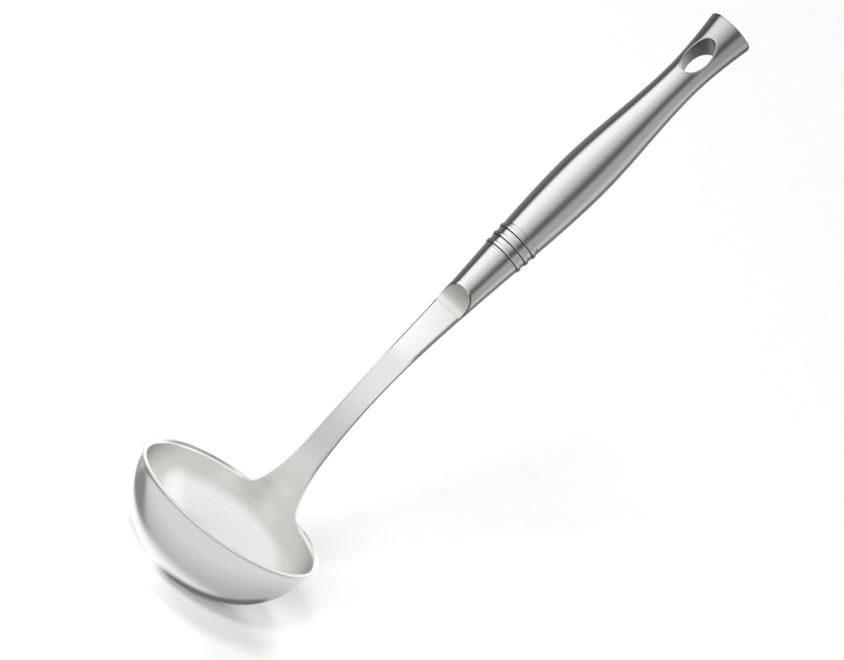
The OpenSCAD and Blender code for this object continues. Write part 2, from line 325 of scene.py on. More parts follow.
def shank_cell(k, m):
    row = edge_row(k)
    return shank_frame(row[1], row[0] * (2 * m / SHANK_COLUMNS - 1))[:3]


print("shank rows:", ALL_ROWS, "up to z =", round(NOSE_Z + BOWL_H, 2), "mm")

# %% [markdown]
# The grid starts with one cell at the pole of the bowl's foot. The free edge is one closed loop:
# round the rim, up one side of the shank, across its top and down the other side. Each face also
# says where it lies, because the four places get finishes of their own: inside, outside, on the
# polished edge, or in the middle of the shank's edge, whose darker colour is painted shade.
# The pair below says how much of the half-round that is, from the inner face (0) to the outer (1).

# %% Join the two into one sheet
INSIDE, OUTSIDE, EDGE, EDGE_SHADE = range(4)
EDGE_SHADE_PART = (0.25, 0.8)


def build_bowl_and_shank():
    cells = [(Vector((0, 0, HALF_WALL - BOWL_H)), Vector((0, 0, -1)), HALF_WALL)]
    cells += [bowl_cell(i, j) for i in range(LAST_RING + 1) for j in range(RING_COLUMNS)]
    cells += [shank_cell(k, m) for k in range(1, ALL_ROWS + 1) for m in range(SHANK_COLUMNS + 1)]

    def ring_at(i, j):
        return 1 + i * RING_COLUMNS + j % RING_COLUMNS

    def row_at(k, m):
        if k == 0:
            return ring_at(LAST_RING, m)
        return 1 + (LAST_RING + 1) * RING_COLUMNS + (k - 1) * (SHANK_COLUMNS + 1) + m

    inner = [(0, ring_at(0, j + 1), ring_at(0, j)) for j in range(RING_COLUMNS)]
    inner += [(ring_at(i, j), ring_at(i, j + 1), ring_at(i + 1, j + 1), ring_at(i + 1, j))
              for i in range(LAST_RING) for j in range(RING_COLUMNS)]
    inner += [(row_at(k, m), row_at(k, m + 1), row_at(k + 1, m + 1), row_at(k + 1, m))
              for k in range(ALL_ROWS) for m in range(SHANK_COLUMNS)]

    loop = []
    for j in range(SHANK_COLUMNS, RING_COLUMNS + 1):
        n, a = cells[ring_at(LAST_RING, j)][1], column_angle(j)
        flat = Vector((n.x * math.cos(a) + n.y * math.sin(a), n.z))
        loop.append((ring_at(LAST_RING, j),
                     Vector((-flat.y * math.cos(a), -flat.y * math.sin(a), flat.x))))

    def side_way(k, side):
        row = edge_row(k)
        f = shank_frame(row[1], side * row[0])
        return f[3] * (row[2] * side) + f[4] * row[3]

    loop += [(row_at(k, 0), side_way(k, -1)) for k in range(1, ALL_ROWS + 1)]
    loop += [(row_at(ALL_ROWS, m), Vector((0, 0, 0))) for m in range(1, SHANK_COLUMNS)]
    loop += [(row_at(k, SHANK_COLUMNS), side_way(k, 1)) for k in range(ALL_ROWS, 0, -1)]

    count = len(cells)
    lift = Vector((0, 0, BOWL_H))
    points = [c[0] - c[1] * c[2] + lift for c in cells]
    points += [c[0] + c[1] * c[2] + lift for c in cells]
    for index, way in loop:
        middle, normal, h = cells[index]
        for q in range(1, EDGE_STEPS):
            a = math.pi * q / EDGE_STEPS
            points.append(middle + lift + (way * math.sin(a) - normal * math.cos(a)) * h)

    def edge_at(s, q):
        s %= len(loop)
        if q == 0:
            return loop[s][0]
        if q == EDGE_STEPS:
            return loop[s][0] + count
        return 2 * count + s * (EDGE_STEPS - 1) + q - 1

    outer = [tuple(i + count for i in reversed(face)) for face in inner]
    edge = [(edge_at(s, q), edge_at(s + 1, q), edge_at(s + 1, q + 1), edge_at(s, q + 1))
            for s in range(len(loop)) for q in range(EDGE_STEPS)]
    rim_columns = RING_COLUMNS + 1 - SHANK_COLUMNS

    # Faces in the middle of the shank's edge get a darker steel, as painted shade.
    def edge_kind(s, q):
        share = (q + 0.5) / EDGE_STEPS
        in_middle = EDGE_SHADE_PART[0] < share < EDGE_SHADE_PART[1]
        return EDGE_SHADE if s >= rim_columns and in_middle else EDGE

    kinds = [INSIDE] * len(inner) + [OUTSIDE] * len(outer)
    kinds += [edge_kind(s, q) for s in range(len(loop)) for q in range(EDGE_STEPS)]
    return make_piece("pressed_bowl_and_shank", "bowl_and_shank",
                      points, inner + outer + edge, kinds)


bowl_piece = build_bowl_and_shank()

# %% [markdown]
# ## Ferrule
# The ferrule is a turned cone whose nose is ground down, front and back, to the flat shank. Cutting
# it with a boolean would leave a hard edge and poor shading. Here each cross-section is a circle
# whose points are held back by the scallop, and a soft minimum rounds the edge where the two meet.
# The sections lie closer together near the nose. Each point also says where it lies: on the cone,
# on the ground scallop, or on the narrow edge at the scallop's sides. The three get finishes of
# their own; the scallop and its edge are painted darker, as painted shade for the dark that they
# mirror.

# %% Shape the ferrule
FERRULE_RINGS = 110
FERRULE_AROUND = 168
CONE, SCALLOP, SCALLOP_EDGE = range(3)
RING_CROWDING = 1.35
NO_SCALLOP = 10 * FERRULE_D
EDGE_SOFTNESS = 1.3
EDGE_ZONE, EDGE_ZONE_Y = 0.55, 3.6
CONE_POWER = 1.2


def soft_min(a, b, k):
    """The smaller of a and b, blended over a width k."""
    h = max(k - abs(a - b), 0) / k
    return min(a, b) - h * h * k / 4


def scallop_lift(t, lift):
    """Distance from the axis to the scallop at t along the ferrule."""
    if t >= SCALLOP_R:
        return NO_SCALLOP
    return lift + SCALLOP_R - math.sqrt(SCALLOP_R ** 2 - t ** 2)


def build_ferrule():
    points, zones = [], []
    for i in range(FERRULE_RINGS + 1):
        t = (FERRULE_L - WELD_GAP) * (i / FERRULE_RINGS) ** RING_CROWDING
        r = (NOSE_D + (FERRULE_D - NOSE_D) * (t / FERRULE_L) ** CONE_POWER) / 2
        front, back = scallop_lift(t, FACE_LIFT), scallop_lift(t, SHANK_T - FACE_LIFT)
        for j in range(FERRULE_AROUND):
            a = 2 * math.pi * j / FERRULE_AROUND
            x, y = r * math.cos(a), r * math.sin(a)
            past = abs(x) - (back if x > 0 else front)
            # Points near the scallop's edge get a dark steel, as painted shade.
            on_edge = abs(past) < EDGE_ZONE and abs(y) > EDGE_ZONE_Y
            zones.append(SCALLOP_EDGE if on_edge else SCALLOP if past > 0 else CONE)
            x = soft_min(x, back, EDGE_SOFTNESS) if x > 0 else -soft_min(-x, front, EDGE_SOFTNESS)
            points.append((x, y, t))
    kinds = zones[:FERRULE_RINGS * FERRULE_AROUND] + [CONE, CONE]
    return make_piece("ground_ferrule", "ferrule", points,
                      tube_faces(FERRULE_RINGS + 1, FERRULE_AROUND), kinds, along=NOSE_T)


ferrule_piece = build_ferrule()

# %% [markdown]
# ## Bead ring
# Three half-round beads with plain bands between them, turned and polished. A turned profile is the
# natural way. A narrow strip on the bowl's side of each bead, from the band into the bead's foot,
# is painted dark as painted shade in the bead's root, which draws the fine dark lines.

# %% Turn the bead ring
BEAD_STEPS = 14
TURNED_AROUND = 144
RING_BORE = 8.1
RING_CHAMFER = 0.12
ROOT_STRIP = 0.4


def build_bead_ring():
    def band(s):
        return (FERRULE_D + (GRIP_D - FERRULE_D) * s / RING_L) / 2

    profile = [(RING_BORE, WELD_GAP), (band(0) - RING_CHAMFER, WELD_GAP),
               (band(0), WELD_GAP + RING_CHAMFER)]
    # The faces of these rings get a dark steel: painted shade at the root of each bead, on its bowl
    # side.
    shaded_rings = []
    for b in range(BEAD_N):
        start = (b + 0.5) * BEAD_PITCH - BEAD_W / 2
        profile.append((band(start - ROOT_STRIP), start - ROOT_STRIP))
        shaded_rings += [len(profile) - 1, len(profile)]
        for q in range(BEAD_STEPS + 1):
            u = 2 * q / BEAD_STEPS - 1
            s = start + BEAD_W * q / BEAD_STEPS
            profile.append((band(s) + BEAD_H * math.sqrt(max(0, 1 - u * u)), s))
        profile.append((band(start + BEAD_W + ROOT_STRIP), start + BEAD_W + ROOT_STRIP))
    profile += [(band(RING_L), RING_L - WELD_GAP - RING_CHAMFER),
                (band(RING_L) - RING_CHAMFER, RING_L - WELD_GAP), (RING_BORE, RING_L - WELD_GAP)]
    rings = len(profile)
    faces = tube_faces(rings, TURNED_AROUND, closed_ends=False)
    last = (rings - 1) * TURNED_AROUND
    faces += [(last + j, last + (j + 1) % TURNED_AROUND, (j + 1) % TURNED_AROUND, j)
              for j in range(TURNED_AROUND)]
    kinds = [int(i in shaded_rings) for i in range(rings - 1) for j in range(TURNED_AROUND)]
    kinds += [0] * TURNED_AROUND
    return make_piece("turned_bead_ring", "bead_ring",
                      turned_points(profile, TURNED_AROUND), faces, kinds, along=RING_T)


ring_piece = build_bead_ring()

# %% [markdown]
# ## Grip
# The grip is a tube that swells for the palm, narrows to a neck and opens out again to the tail,
# with an oval eye through its narrow end. The eye's edge has to run smoothly, so the two patches of
# the surface round the eye are laid as rings that lead from the oval to the straight grid around
# it. A Solidify modifier gives the sheet its wall, and a small Bevel softens the eye's edge.

# %% Lay the grip's surface
GRIP_ROWS = 150
GRIP_AROUND = 144
PATCH_RINGS = 12
PATCH_REACH = 13.0
PATCH_ANGLE = math.radians(62.5)
PATCH_CROWDING = 0.8
TAIL_POWER = 1.6
EYE_MARGIN = LINER_T + 0.1
SOFT_EDGE_MM = 0.12
SOFT_EDGE_STEPS = 2


def grip_r(s):
    if s <= BELLY_AT:
        return (GRIP_D + (BELLY_D - GRIP_D) * math.sin(math.pi / 2 * s / BELLY_AT)) / 2
    if s <= NECK_AT:
        u = (s - BELLY_AT) / (NECK_AT - BELLY_AT)
        return (BELLY_D + NECK_D + (BELLY_D - NECK_D) * math.cos(math.pi * u)) / 4
    u = (s - NECK_AT) / (GRIP_L - NECK_AT)
    return (NECK_D + (TAIL_D - NECK_D) * u ** TAIL_POWER) / 2


def grip_point(s, a):
    """Point of the grip's surface at s along it and at angle a from its front, x = front is -x."""
    return (-grip_r(s) * math.cos(a), grip_r(s) * math.sin(a), s)


def build_grip():
    rows = [WELD_GAP + (GRIP_L - WELD_GAP) * i / GRIP_ROWS for i in range(GRIP_ROWS + 1)]
    low = min(range(len(rows)), key=lambda i: abs(rows[i] - (EYE_AT - PATCH_REACH)))
    high = min(range(len(rows)), key=lambda i: abs(rows[i] - (EYE_AT + PATCH_REACH)))
    step = 2 * math.pi / GRIP_AROUND
    width = round(PATCH_ANGLE / step)
    index, points, faces = {}, [], []

    def at(i, j):
        j %= GRIP_AROUND
        if (i, j) not in index:
            index[i, j] = len(points)
            points.append(grip_point(rows[i], j * step))
        return index[i, j]

    half = GRIP_AROUND // 2
    for i in range(GRIP_ROWS):
        for j in range(GRIP_AROUND):
            near = min(abs(j + 0.5 - middle) for middle in (0, half, GRIP_AROUND))
            if low <= i < high and near < width:
                continue
            faces.append((at(i, j), at(i + 1, j), at(i + 1, j + 1), at(i, j + 1)))

    for middle in (0, half):
        border = [(i, middle - width) for i in range(low, high)]
        border += [(high, j) for j in range(middle - width, middle + width)]
        border += [(i, middle + width) for i in range(high, low, -1)]
        border += [(low, j) for j in range(middle + width, middle - width, -1)]
        previous = [at(i, j) for i, j in border]
        for k in range(1, PATCH_RINGS + 1):
            share = (k / PATCH_RINGS) ** PATCH_CROWDING
            current = []
            for i, j in border:
                s, a = rows[i], (j - middle) * step
                reach = (rows[high] - EYE_AT) if s > EYE_AT else (EYE_AT - rows[low])
                psi = math.atan2(a / (width * step), (s - EYE_AT) / reach)
                oval_s = EYE_AT + (EYE_L / 2 + EYE_MARGIN) * math.cos(psi)
                oval_y = (EYE_W / 2 + EYE_MARGIN) * math.sin(psi)
                oval_a = math.asin(oval_y / grip_r(oval_s))
                current.append(len(points))
                points.append(grip_point(s + (oval_s - s) * share,
                                         middle * step + a + (oval_a - a) * share))
            count = len(border)
            faces += [(previous[n], previous[(n + 1) % count], current[(n + 1) % count], current[n])
                      for n in range(count)]
            previous = current
    piece = make_piece("swelling_grip", "grip_tube", points, faces, along=GRIP_T,
                       closed=False)
    wall = piece.modifiers.new("wall", "SOLIDIFY")
    wall.thickness = GRIP_WALL * MM
    wall.offset = -1
    edge = piece.modifiers.new("softened_edges", "BEVEL")
    edge.limit_method = "ANGLE"
    edge.angle_limit = math.radians(SHARP_DEG)
    edge.width = SOFT_EDGE_MM * MM
    edge.segments = SOFT_EDGE_STEPS
    return piece


grip_piece = build_grip()

# %% [markdown]
# ## Eye liner
# The hanging eye is lined with a short sleeve of oval section. Its ends follow the grip's round
# surface and are rolled over it in a narrow lip, which is the bright line round the eye. Its
# section is a closed ring of points, lip, wall, lip, wall. The lips are polished, and the walls are
# painted dark, as painted shade inside the eye.

# %% Form the eye's liner
LINER_AROUND = 120
LIP_WIDTH = 0.95
LIP_STEPS = 8
LIP_BELOW = 0.45
LIP_TRIM = 0.02
WALL_STEPS = 10
OUTER_WALL_SHARE = 0.62
OUTER_WALL_BELOW = 1.2
LIP, WALL = range(2)


def build_eye_liner():
    points = []
    for j in range(LINER_AROUND):
        psi = 2 * math.pi * j / LINER_AROUND
        centre = Vector((EYE_W / 2 * math.sin(psi), EYE_L / 2 * math.cos(psi)))
        out = Vector((EYE_L / 2 * math.sin(psi), EYE_W / 2 * math.cos(psi))).normalized()

        def surface(distance):
            p = centre + out * distance
            s = EYE_AT + p.y
            return p, math.sqrt(grip_r(s) ** 2 - p.x ** 2)

        def lip(side):
            half_ring = []
            for q in range(LIP_STEPS + 1):
                a = math.pi * q / LIP_STEPS
                p, level = surface(LIP_WIDTH * (1 - math.cos(a)) / 2)
                rise = (LIP_BELOW + LINER_PROUD - LIP_TRIM) * math.sin(a)
                half_ring.append((side * (level - LIP_BELOW + rise), p))
            return half_ring

        def wall(distance, below, side):
            p, level = surface(distance)
            return [(side * (level - below) * (2 * q / WALL_STEPS - 1), p)
                    for q in range(1, WALL_STEPS)]

        ring = lip(-1)[::-1] + wall(0, LIP_BELOW, 1) + lip(1)
        ring += wall(LIP_WIDTH * OUTER_WALL_SHARE, OUTER_WALL_BELOW, -1)
        points += [(x, p.x, EYE_AT + p.y) for x, p in ring]
    around = len(points) // LINER_AROUND
    faces, kinds = [], []
    for j in range(LINER_AROUND):
        a, b = j * around, (j + 1) % LINER_AROUND * around
        faces += [(a + k, a + (k + 1) % around, b + (k + 1) % around, b + k)
                  for k in range(around)]
        # Wall faces get a dark steel, as painted shade inside the eye.
        kinds += [LIP if k % (LIP_STEPS + WALL_STEPS) < LIP_STEPS else WALL for k in range(around)]
    return make_piece("rolled_eye_liner", "eye_liner", points, faces, kinds,
                      along=GRIP_T)


liner_piece = build_eye_liner()

# %% [markdown]
# ## End cap
# The tail is closed by a shallow domed cap, welded on and ground flush, with a rounded edge. Its
# plug reaches a little way into the tube. The first and last rings of the profile are as good as
# points.

# %% Turn the end cap
CAP_STEPS = 16
PLUG_R = 9.0
PLUG_L = 3.9
POINT_R = 0.01


def build_end_cap():
    flat_r = TAIL_D / 2 - CAP_EDGE_R
    dome_r = (flat_r ** 2 + CAP_DOME_H ** 2) / (2 * CAP_DOME_H)
    dome_a = math.asin(flat_r / dome_r)
    profile = [(POINT_R, -PLUG_L), (PLUG_R, -PLUG_L), (PLUG_R, WELD_GAP)]
    for q in range(CAP_STEPS + 1):
        a = math.pi / 2 * q / CAP_STEPS
        profile.append((flat_r + CAP_EDGE_R * math.cos(a),
                        WELD_GAP + (CAP_EDGE_R - WELD_GAP) * math.sin(a)))
    for q in range(1, CAP_STEPS + 1):
        a = dome_a * (1 - q / CAP_STEPS)
        height = CAP_EDGE_R + CAP_DOME_H - dome_r * (1 - math.cos(a))
        profile.append((max(POINT_R, dome_r * math.sin(a)), height))
    return make_piece("domed_end_cap", "end_cap",
                      turned_points(profile, TURNED_AROUND),
                      tube_faces(len(profile), TURNED_AROUND), along=END_T)


cap_piece = build_end_cap()

# %% [markdown]
# ## Steel
# Stainless steel is a pale, slightly warm grey metal. What the eye reads as "satin", "brushed" or
# "polished" is only how its surface was worked: fine parallel scratches blur the mirror image
# across them. All the finishes here are metallic with the default IOR, and differ in roughness, in
# the way their scratches run and in how strong these are. Most are one colour. Some places are
# painted darker, as painted shade for the dark that they mirror or that falls in them: the ground
# scallop on the ferrule, its edges, the roots of the beads, the wall of the eye and the middle of
# the shank's edge. The bowl's inside is painted a little paler, as painted light.

# %% Add a node with its settings and links


def linear(hex_colour):
    """An sRGB hex colour as linear RGBA."""
    parts = [int(hex_colour[i:i + 2], 16) / 255 for i in (1, 3, 5)]
    return [p / 12.92 if p <= 0.04045 else ((p + 0.055) / 1.055) ** 2.4 for p in parts] + [1.0]


def add(tree, kind, inputs=None, **settings):
    """Add a node. An input is a value, or an output socket to link from."""
    new = tree.nodes.new(kind)
    for key, value in settings.items():
        setattr(new, key, value)
    for key, value in (inputs or {}).items():
        if isinstance(value, bpy.types.NodeSocket):
            tree.links.new(value, new.inputs[key])
        else:
            new.inputs[key].default_value = value
    return new


def new_material(name):
    material = bpy.data.materials.new(name)
    material.use_nodes = True
    material.node_tree.nodes.clear()
    return material, material.node_tree


# %% [markdown]
# A brushed finish is made by a belt or a wheel that runs one way. The scratches are a noise that is
# stretched along that way. Real scratches are about 0.05 mm wide, too fine to show in the render,
# so they are drawn about 0.3 mm wide. A second, coarse noise stands for slight wear and finger
# marks. The scratches change the roughness, the tone by a few hundredths, and the surface by a
# slight bump.

# %% Work the steel one way
WEAR_MM = 22
ROUGH_FROM, ROUGH_TO = 0.3, 0.7
TONE_FROM, TONE_TO = 0.25, 0.75
SCRATCH_TONE = 0.955


def worked_steel(name, colour, roughness, spread, scratch_mm, length_mm, depth, way, fade=None):
    """Steel with scratches along the handle ('handle') or round the bowl ('bowl').
    fade = (another colour, t where it is full, t where it ends), with t along the handle."""
    material, tree = new_material(name)
    place = add(tree, "ShaderNodeTexCoord").outputs["Object"]
    if way == "handle":
        grain = add(tree, "ShaderNodeMapping",
                    {"Vector": place, "Rotation": (0, TILT - math.pi / 2, 0)}).outputs[0]
        grain = add(tree, "ShaderNodeMapping",
                    {"Vector": grain, "Scale": (1, 1, scratch_mm / length_mm)}).outputs[0]
    else:
        parts = add(tree, "ShaderNodeSeparateXYZ", {"Vector": place})
        x, y, z = parts.outputs
        x2 = add(tree, "ShaderNodeMath", {0: x, 1: x}, operation="MULTIPLY").outputs[0]
        r2 = add(tree, "ShaderNodeMath", {0: y, 1: y, 2: x2}, operation="MULTIPLY_ADD").outputs[0]
        radius = add(tree, "ShaderNodeMath", {0: r2}, operation="SQRT").outputs[0]
        angle = add(tree, "ShaderNodeMath", {0: y, 1: x}, operation="ARCTAN2").outputs[0]
        run = add(tree, "ShaderNodeMath",
                  {0: angle, 1: scratch_mm / length_mm * BOWL_D / 2 * MM},
                  operation="MULTIPLY").outputs[0]
        grain = add(tree, "ShaderNodeCombineXYZ", {0: radius, 1: run, 2: z}).outputs[0]
    scratches = add(tree, "ShaderNodeTexNoise",
                    {"Vector": grain, "Scale": TO_MM / scratch_mm / 2, "Detail": 2.0}).outputs[0]
    marks = add(tree, "ShaderNodeTexNoise",
                {"Vector": place, "Scale": TO_MM / WEAR_MM, "Detail": 3.0}).outputs[0]
    rough = add(tree, "ShaderNodeMapRange",
                {"Value": scratches, "From Min": ROUGH_FROM, "From Max": ROUGH_TO,
                 "To Min": roughness - spread, "To Max": roughness + spread}).outputs[0]
    rough = add(tree, "ShaderNodeMath", {0: marks, 1: spread, 2: rough},
                operation="MULTIPLY_ADD").outputs[0]
    tone = add(tree, "ShaderNodeMapRange",
               {"Value": scratches, "From Min": TONE_FROM, "From Max": TONE_TO,
                "To Min": SCRATCH_TONE, "To Max": 1.0}).outputs[0]
    base = linear(colour)[:3]
    if fade:
        start = HANDLE_X * HANDLE_WAY[0] + BOWL_H * HANDLE_WAY[2]
        along = add(tree, "ShaderNodeVectorMath", {0: place, 1: HANDLE_WAY},
                    operation="DOT_PRODUCT").outputs["Value"]
        share = add(tree, "ShaderNodeMapRange",
                    {"Value": along, "From Min": (start + fade[1]) * MM,
                     "From Max": (start + fade[2]) * MM},
                    interpolation_type="SMOOTHSTEP").outputs[0]
        base = add(tree, "ShaderNodeMix", {0: share, 4: linear(fade[0])[:3], 5: base},
                   data_type="VECTOR").outputs[1]
    shade = add(tree, "ShaderNodeVectorMath", {0: base, "Scale": tone},
                operation="SCALE").outputs[0]
    bump = add(tree, "ShaderNodeBump", {"Height": scratches, "Distance": depth * MM,
                                        "Strength": 1.0}).outputs[0]
    steel = add(tree, "ShaderNodeBsdfPrincipled",
                {"Base Color": shade, "Metallic": 1.0, "Roughness": rough, "Normal": bump})
    add(tree, "ShaderNodeOutputMaterial", {"Surface": steel.outputs[0]})
    print(name, "colour", colour, "roughness", roughness)
    return material


# %% [markdown]
# Each finish gives its colour, its roughness and how far that varies, the width and length of its
# scratches and the depth of their bump in millimetres. A wheel runs round the bowl, and a belt
# along the handle. Three finishes fade into a paler one: the inside, painted paler as painted light
# from the shank down into the bowl, the painted shade of the shank's edge towards the shank's
# root, and the painted shade of the scallop towards its nose.

# %% Mix the steels
PALE_STEEL = "#DEDEDC"
# Painted light: the inside's paler colour in the bowl brightens it beyond what its steel would
# mirror.
satin_inside = worked_steel("satin_stainless_steel", PALE_STEEL, 0.24, 0.015, 0.35, 24, 0.0001,
                            "bowl", ("#E5E5E3", 16, 40))
# Painted shade: the shank's edge is darker, and paler towards the shank's root.
edge_shade = worked_steel("painted_shade_edge_steel", "#8E8E8A", 0.24, 0.02, 0.35, 8, 0.0004,
                            "handle", (PALE_STEEL, 20, 36))
buffed_outside = worked_steel("buffed_stainless_steel", PALE_STEEL, 0.1, 0.015, 0.35, 30, 0.0004,
                              "bowl")
polished_edge = worked_steel("polished_edge_steel", PALE_STEEL, 0.16, 0.01, 0.35, 30, 0.0, "bowl")
brushed = worked_steel("brushed_stainless_steel", PALE_STEEL, 0.15, 0.03, 0.3, 26, 0.0006, "handle")
polished = worked_steel("polished_stainless_steel", PALE_STEEL, 0.1, 0.01, 0.3, 26, 0.0, "handle")
# Painted shade: the scallop's darker steel, paler towards its nose, stands for the dark that it
# mirrors.
scallop_shade = worked_steel("painted_shade_scallop_steel", "#AFB0A7", 0.3, 0.03, 0.3, 10, 0.0006, "handle",
                      ("#D4D4D2", NOSE_T + 1.5, NOSE_T + 7))
# Painted shade: a dark steel for the narrow edge at the scallop's sides, for the dark it mirrors.
scallop_edge_shade = worked_steel("painted_shade_scallop_edge_steel", "#5A5A54", 0.3, 0.03, 0.3, 8, 0.0006, "handle")
# Painted shade: a dark steel for the root of each bead on its bowl side, where shade falls.
root_shade = worked_steel("painted_root_shade_steel", "#3A3A37", 0.45, 0.04, 0.3, 4, 0.0008, "handle")
# Painted shade: a dark steel for the eye's wall, inside the hole.
eye_wall_shade = worked_steel("painted_shade_eye_wall_steel", "#5E5E59", 0.3, 0.03, 0.4, 8, 0.0008, "handle")

# %% [markdown]
# The steels of a piece stand in the order of its kinds of face, as said where the piece was made.

# %% Dress the pieces
FINISHES = [(bowl_piece, (satin_inside, buffed_outside, polished_edge, edge_shade)),
            (ferrule_piece, (brushed, scallop_shade, scallop_edge_shade)), (ring_piece, (polished, root_shade)),
            (grip_piece, (brushed,)), (liner_piece, (polished, eye_wall_shade)), (cap_piece, (brushed,))]
for piece, steels in FINISHES:
    for steel in steels:
        piece.data.materials.append(steel)
    print(piece.name, "wears", [steel.name for steel in steels])

# %% [markdown]
# ## Floor and room
# The picture has a plain white floor and background. The world is white where the camera or a
# reflection sees it, and gives only a little light, because the lamps do the lighting. The floor is
# white paper. What sees it directly or mirrored sees a faint glow as well, so that the paper meets
# the background while the ladle's shadow stays.

# %% Lay the floor and light the room
FLOOR_SIZE = 6.0
FLOOR_GLOW = 0.06
PAPER_SCALE = 300.0
PAPER_TONES = (0.9, 0.94)
WORLD_LIGHT = 0.1


def seen_ray(tree):
    """1 where a surface is seen directly, mirrored or through glass, and 0 where it only lights."""
    path = add(tree, "ShaderNodeLightPath").outputs
    seen = add(tree, "ShaderNodeMath", {0: path["Is Camera Ray"], 1: path["Is Glossy Ray"]},
               operation="MAXIMUM").outputs[0]
    return add(tree, "ShaderNodeMath", {0: seen, 1: path["Is Transmission Ray"]},
               operation="MAXIMUM").outputs[0]


def build_floor():
    half = FLOOR_SIZE / 2
    mesh = bpy.data.meshes.new("floor")
    mesh.from_pydata([(-half, -half, 0), (half, -half, 0), (half, half, 0), (-half, half, 0)], [],
                     [(0, 1, 2, 3)])
    floor = bpy.data.objects.new("floor", mesh)
    bpy.context.scene.collection.objects.link(floor)
    material, tree = new_material("white_paper_floor")
    fibres = add(tree, "ShaderNodeTexNoise", {"Scale": PAPER_SCALE, "Detail": 2.0}).outputs[0]
    tone = add(tree, "ShaderNodeMapRange", {"Value": fibres, "To Min": PAPER_TONES[0],
                                            "To Max": PAPER_TONES[1]}).outputs[0]
    paper = add(tree, "ShaderNodeBsdfDiffuse", {"Color": tone}).outputs[0]
    own = add(tree, "ShaderNodeMath", {0: seen_ray(tree), 1: FLOOR_GLOW},
              operation="MULTIPLY").outputs[0]
    glow = add(tree, "ShaderNodeEmission", {"Color": (1, 1, 1, 1), "Strength": own}).outputs[0]
    both = add(tree, "ShaderNodeAddShader", {0: paper, 1: glow}).outputs[0]
    add(tree, "ShaderNodeOutputMaterial", {"Surface": both})
    mesh.materials.append(material)
    print("floor of", FLOOR_SIZE, "m, glow", FLOOR_GLOW)


def build_world():
    world = bpy.data.worlds.new("white_room")
    bpy.context.scene.world = world
    world.use_nodes = True
    tree = world.node_tree
    tree.nodes.clear()
    level = add(tree, "ShaderNodeMapRange", {"Value": seen_ray(tree), "To Min": WORLD_LIGHT,
                                             "To Max": 1.0}).outputs[0]
    back = add(tree, "ShaderNodeBackground", {"Color": (1, 1, 1, 1), "Strength": level}).outputs[0]
    add(tree, "ShaderNodeOutputWorld", {"Surface": back})
    print("world light", WORLD_LIGHT)


build_floor()
build_world()

# %% [markdown]
# ## Backdrops that the steel mirrors
# Steel shows its form only where it mirrors something darker than the room. A photographer
# surrounds the object with white, grey and black backdrops for this, outside the picture. There are
# three here: a curved screen round the handle, the table top, and a round screen as far off as a
# room's walls. Only reflections see them: they cast no shadow, and no camera sees them. They stay
# where they are when the camera moves, so other views show other bands of light, as with real
# steel.

# %% Make a thing that only reflections see
UNSEEN_BY = ("camera", "diffuse", "shadow", "transmission", "volume_scatter")


def only_reflected(name, points, faces, matrix):
    mesh = bpy.data.meshes.new(name)
    mesh.from_pydata([Vector(p) * MM for p in points], [], faces)
    thing = bpy.data.objects.new(name, mesh)
    bpy.context.scene.collection.objects.link(thing)
    thing.matrix_world = matrix
    for ray in UNSEEN_BY:
        setattr(thing, "visible_" + ray, False)
    material, tree = new_material(name + "_card")
    mesh.materials.append(material)
    print(name, "has", len(faces), "faces")
    return tree


def show_level(tree, level, scale=1.0):
    glow = add(tree, "ShaderNodeEmission", {"Color": level, "Strength": scale})
    add(tree, "ShaderNodeOutputMaterial", {"Surface": glow.outputs[0]})


def set_ramp(ramp, stops, low, high, top):
    """Stops of (place, level), where places run from low to high and levels up to top."""
    elements = ramp.color_ramp.elements
    elements.remove(elements[1])
    for n, (place, level) in enumerate(stops):
        share = (place - low) / (high - low)
        element = elements.new(share) if n else elements[0]
        element.position = share
        element.color = (level / top, level / top, level / top, 1)


# %% [markdown]
# The screen's angle 0 faces the first camera, and negative angles go to the left of the picture.
# From the left it is dark, turns white in front of the handle's left side, falls off to a dark gap
# just past the middle, and is grey beyond. Each stop is an angle and a level. Along the handle, it
# is a little brighter beside the ferrule and dimmer beside the hanging eye. Both ends and the back
# are open.

# %% Bend the screen round the handle
SCREEN_R = 62.0
SCREEN_FROM, SCREEN_TO = 96.0, 350.0
SCREEN_OPEN = 150
SCREEN_STEPS = 100
SCREEN_TOP = 1.5
SCREEN_STOPS = [(-150, .37), (-140, .3), (-125, .26), (-110, .17), (-96, .09), (-87, .12),
                (-81, .66), (-75, 1.25), (-60, 1.3), (-40, 1.2), (-28, 1.02), (-15, .83),
                (0, .61), (10, .39), (18, .2), (27, .12), (36, .17), (45, .42), (55, .47),
                (74, .46), (88, .6), (98, .77), (107, .56), (117, .21), (134, .22), (150, .44)]
LENGTH_TOP = 1.2
LENGTH_STOPS = [(96, 1.2), (118, 1.2), (134, 1), (274, 1), (286, .78), (350, .6)]
handle_way = Vector(HANDLE_WAY)
to_camera = (camera_back - handle_way * camera_back.dot(handle_way)).normalized()
to_right = handle_way.cross(to_camera).normalized()
SCREEN_FRAME = (Matrix.Translation(Vector((HANDLE_X, 0, BOWL_H)) * MM)
                @ Matrix((to_camera, to_right, handle_way)).transposed().to_4x4())


